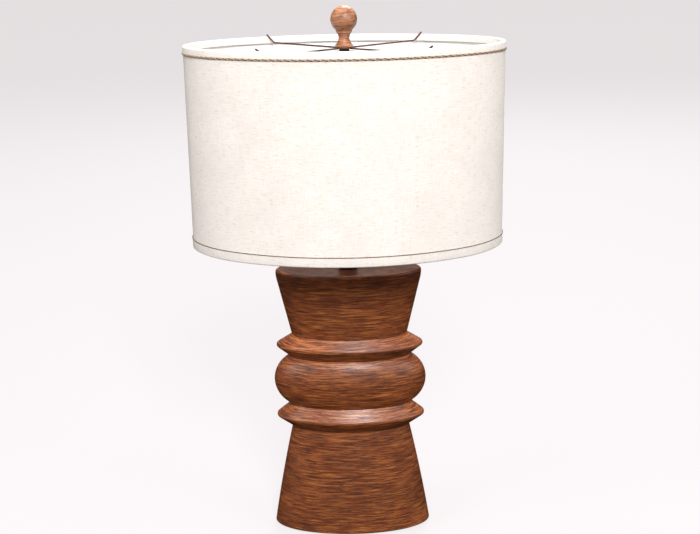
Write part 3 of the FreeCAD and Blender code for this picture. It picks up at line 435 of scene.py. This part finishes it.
def linen(name, pale, warm, dark, fleck):
    """Plain-woven linen, read from the piece's UV map in metres."""
    cloth = empty_material(name)
    place = add(cloth, "UVMap", uv_map="cloth").outputs[0]
    threads = []
    for along, across in ((WEFT_LONG, THREAD), (THREAD, WARP_LONG)):
        scale = add(cloth, "Mapping", {"Vector": place, "Scale": (1 / along, 1 / across, 1.0)})
        threads.append(add(cloth, "TexNoise", {"Vector": scale.outputs[0], "Scale": 1.0,
                                               "Detail": 2.0, "Roughness": 0.55},
                           noise_dimensions="2D"))
    weft, warp = threads
    woven = add(cloth, "Math", {0: weft.outputs[0], 1: warp.outputs[0]}, operation="MAXIMUM")
    slub_scale = add(cloth, "Mapping", {"Vector": place, "Scale": (1 / SLUB_LONG, 1 / SLUB_TALL, 1.0)})
    slubs = add(cloth, "TexNoise", {"Vector": slub_scale.outputs[0], "Scale": 1.0, "Detail": 1.0},
                noise_dimensions="2D")
    slub_share = add(cloth, "MapRange", {"Value": slubs.outputs[0], "From Min": 0.63,
                                         "From Max": 0.76})
    patches = add(cloth, "TexNoise", {"Vector": place, "Scale": 1 / LINEN_PATCH, "Detail": 2.0},
                  noise_dimensions="2D")
    patchy = add(cloth, "MapRange", {"Value": patches.outputs[0], "From Min": 0.3, "From Max": 0.7,
                                     "To Min": 0.975, "To Max": 1.02})
    tone = add(cloth, "ValToRGB", {"Fac": woven.outputs[0]},
               stops=[(0.42, dark), (0.55, warm), (0.70, pale)])
    toned = add(cloth, "HueSaturation", {"Color": tone.outputs[0], "Value": patchy.outputs[0]})
    flecked = add(cloth, "MixRGB", {"Fac": slub_share.outputs[0], "Color1": toned.outputs[0],
                                    "Color2": colour(fleck)})
    bump = add(cloth, "Bump", {"Height": woven.outputs[0], "Strength": 0.5, "Distance": 0.2 * MM})
    shader = add(cloth, "BsdfPrincipled", {"Base Color": flecked.outputs[0], "Roughness": 0.9,
                                           "Normal": bump.outputs[0], "Sheen Weight": 0.15})
    add(cloth, "OutputMaterial", {"Surface": shader.outputs[0]})
    return cloth


def lay_cloth(shape, along, across):
    """Map the cloth in real metres, along the plan and along the profile, and shade it smooth."""
    cloth = shape.loops.layers.uv.new("cloth")
    for face in shape.faces:
        face.smooth = True
        places = [loop.vert[along] for loop in face.loops]
        spans_end = max(places) - min(places) > perimeter / 2
        for loop in face.loops:
            place = loop.vert[along]
            if spans_end and place < perimeter / 2:
                place += perimeter
            loop[cloth].uv = (place, loop.vert[across])
    for edge in shape.edges:
        edge.smooth = not edge.is_boundary


def linen_piece(name, node, profile, arcs, steps, thick):
    """Linen led along arcs of the plan, from a profile of (inset, z) points at their first end."""
    shape = bmesh.new()
    along = shape.verts.layers.float.new("along")
    across = shape.verts.layers.float.new("across")
    centre, radius, start, _ = arcs[0]
    points = [shape.verts.new(centre + outward(start) * (radius - inset) + Vector((0, 0, z)))
              for inset, z in profile]
    unrolled = 0.0
    for before, point in zip(points, points[1:]):
        unrolled += (point.co - before.co).length
        point[across] = unrolled
    front = [shape.edges.new(pair) for pair in zip(points, points[1:])]
    gone = 0.0
    for centre, radius, first, last in arcs:
        turn = (last - first) / steps
        for _ in range(steps):
            made = bmesh.ops.spin(shape, geom=front, cent=centre, axis=(0, 0, 1), angle=-turn,
                                  steps=1)["geom_last"]
            gone += radius * turn
            front = [item for item in made if isinstance(item, bmesh.types.BMEdge)]
            for item in made:
                if isinstance(item, bmesh.types.BMVert):
                    item[along] = gone
    bmesh.ops.remove_doubles(shape, verts=shape.verts, dist=0.01 * MM)
    bmesh.ops.recalc_face_normals(shape, faces=shape.faces)
    lay_cloth(shape, along, across)
    piece = new_piece(name, shape, linen_cloth)
    thicken(piece, thick)
    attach(piece, "shade")
    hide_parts(node)
    return piece


linen_cloth = linen("cream_slub_linen", pale="#f8f4ef", warm="#f5eee7", dark="#efe6dc",
                    fleck="#e6dccf")
skin_tall = skin_high.z - skin_low.z
skin_levels = [skin_low.z + skin_tall * row / SKIN_ROWS for row in range(SKIN_ROWS + 1)]
skin = linen_piece("shade_linen", "shade_cloth", [(cloth_in, z) for z in skin_levels], plan,
                   ARC_STEPS, CLOTH_THICK)

# Lap seam up the middle of the back: the skin's own end, folded under so that it can't fray, and
# glued down flat over the other end.
LAP_WIDE = 12 * MM
LAP_PROUD = 0.45 * MM
LAP_STEPS = 4
back_centre, back_radius = plan[0][:2]
lap_turn = LAP_WIDE / back_radius / 2
lap = linen_piece("lap_seam", "shade_cloth", [(cloth_in - LAP_PROUD, z) for z in skin_levels],
                  [(back_centre, back_radius, -lap_turn, lap_turn)], LAP_STEPS, LAP_PROUD)

# Backing inside the shade: white styrene sheet that the linen is laminated to, smooth and
# faintly glossy.
styrene = grained("white_styrene_sheet", "#f3f1ee", "#fbfaf8", grain=30 * MM, depth=0.05 * MM,
                  roughness=0.55)
dress(styrene, "shade_backing")

# Turned edges: strips of the same linen, rolled over the wire rings and glued down inside and
# outside. The rings themselves are the same plated steel as the pipe.
EDGE_WIDE = 6.4 * MM
EDGE_ROUND = 1.9 * MM
ROUND_STEPS = 4


def rolled_profile(open_z, closed_z):
    """A turned edge from its outer hem, over the ring, to its inner hem."""
    away = math.copysign(1, closed_z - open_z)
    points = [(0.0, open_z)]
    for centre_in, start in ((EDGE_ROUND, 0), (EDGE_WIDE - EDGE_ROUND, math.pi / 2)):
        for step in range(ROUND_STEPS + 1):
            angle = start + math.pi / 2 * step / ROUND_STEPS
            points.append((centre_in - EDGE_ROUND * math.cos(angle),
                           closed_z - away * EDGE_ROUND * (1 - math.sin(angle))))
    points.append((EDGE_WIDE, open_z))
    return points


edge_strips = (("top_turned_edge", "top_band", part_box("top_band")[0].z, rim_z),
               ("bottom_turned_edge", "bottom_band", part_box("bottom_band")[1].z,
                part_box("bottom_band")[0].z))
for name, node, open_z, closed_z in edge_strips:
    profile = rolled_profile(open_z, closed_z)
    edge = linen_piece(name, node, profile, plan, ARC_STEPS, CLOTH_THICK)
dress(zinc, "top_ring", "bottom_ring")

# Braid under the top edge: two cotton plies, tan and brown, twisted, pressed flat and glued
# along the hem. A ply's swing round the cord's middle and its own radii are (outward, upright).
PLY_SIDES = 6
RINGS_PER_TURN = 12
BRAID_PITCH = 9 * MM
BRAID_INSET = -0.15 * MM
BRAID_SWING = (0.2 * MM, 0.62 * MM)
BRAID_PLY = (0.55 * MM, 0.66 * MM)
COTTON_GRAIN, COTTON_DEPTH, COTTON_ROUGHNESS = 0.5 * MM, 0.15 * MM, 0.9


def plan_place(distance):
    """The centre and radius of the arc at a distance from the back, and the turn there."""
    for centre, radius, first, last in plan:
        length = radius * (last - first)
        if distance <= length:
            break
        distance -= length
    return centre, radius, first + distance / radius


def twisted_ply(name, node, finish, inset, swing, ply, pitch, phase):
    """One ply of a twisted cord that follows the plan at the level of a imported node."""
    low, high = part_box(node)
    level = (low.z + high.z) / 2
    turns = round(perimeter / pitch)
    count = turns * RINGS_PER_TURN
    corners = [math.pi / 2 + 2 * math.pi * side / PLY_SIDES for side in range(PLY_SIDES)]
    shape = bmesh.new()
    rings = []
    for index in range(count):
        centre, radius, turn = plan_place(perimeter * index / count)
        twist = 2 * math.pi * turns * index / count + phase
        reach = radius - inset + swing[0] * math.cos(twist)
        height = level + swing[1] * math.sin(twist)
        rings.append([shape.verts.new(centre + outward(turn) * (reach + ply[0] * math.cos(corner))
                                      + Vector((0, 0, height + ply[1] * math.sin(corner))))
                      for corner in corners])
    for ring, following in zip(rings, rings[1:] + rings[:1]):
        for side in range(PLY_SIDES):
            beside = (side + 1) % PLY_SIDES
            shape.faces.new((ring[side], ring[beside], following[beside], following[side]))
    for face in shape.faces:
        face.smooth = True
    bmesh.ops.recalc_face_normals(shape, faces=shape.faces)
    piece = new_piece(name, shape, finish)
    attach(piece, "shade")
    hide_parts(node)


tan_cotton = grained("tan_cotton_cord", "#b89d80", "#d6c0a2", COTTON_GRAIN, COTTON_DEPTH,
                     COTTON_ROUGHNESS)
brown_cotton = grained("brown_cotton_cord", "#5d4231", "#84634c", COTTON_GRAIN, COTTON_DEPTH,
                       COTTON_ROUGHNESS)
for name, finish, phase in (("braid_tan_ply", tan_cotton, 0),
                            ("braid_brown_ply", brown_cotton, math.pi)):
    twisted_ply(name, "top_braid", finish, BRAID_INSET, BRAID_SWING, BRAID_PLY,
                BRAID_PITCH, phase)

# Piping above the bottom hem: the same kind of cord, but finer, twisted from a dark and a rose
# brown ply and glued along the upper side of the hem.
PIPING_PITCH = 5 * MM
PIPING_INSET = 0
PIPING_SWING = (0.1 * MM, 0.33 * MM)
PIPING_PLY = (0.33 * MM, 0.36 * MM)
dark_cotton = grained("dark_brown_cotton_cord", "#40302a", "#5a463d", COTTON_GRAIN, COTTON_DEPTH,
                      COTTON_ROUGHNESS)
rose_cotton = grained("rose_brown_cotton_cord", "#7d6156", "#98796b", COTTON_GRAIN, COTTON_DEPTH,
                      COTTON_ROUGHNESS)
for name, finish, phase in (("piping_dark_ply", dark_cotton, 0),
                            ("piping_rose_ply", rose_cotton, math.pi)):
    twisted_ply(name, "bottom_piping", finish, PIPING_INSET, PIPING_SWING,
                PIPING_PLY, PIPING_PITCH, phase)
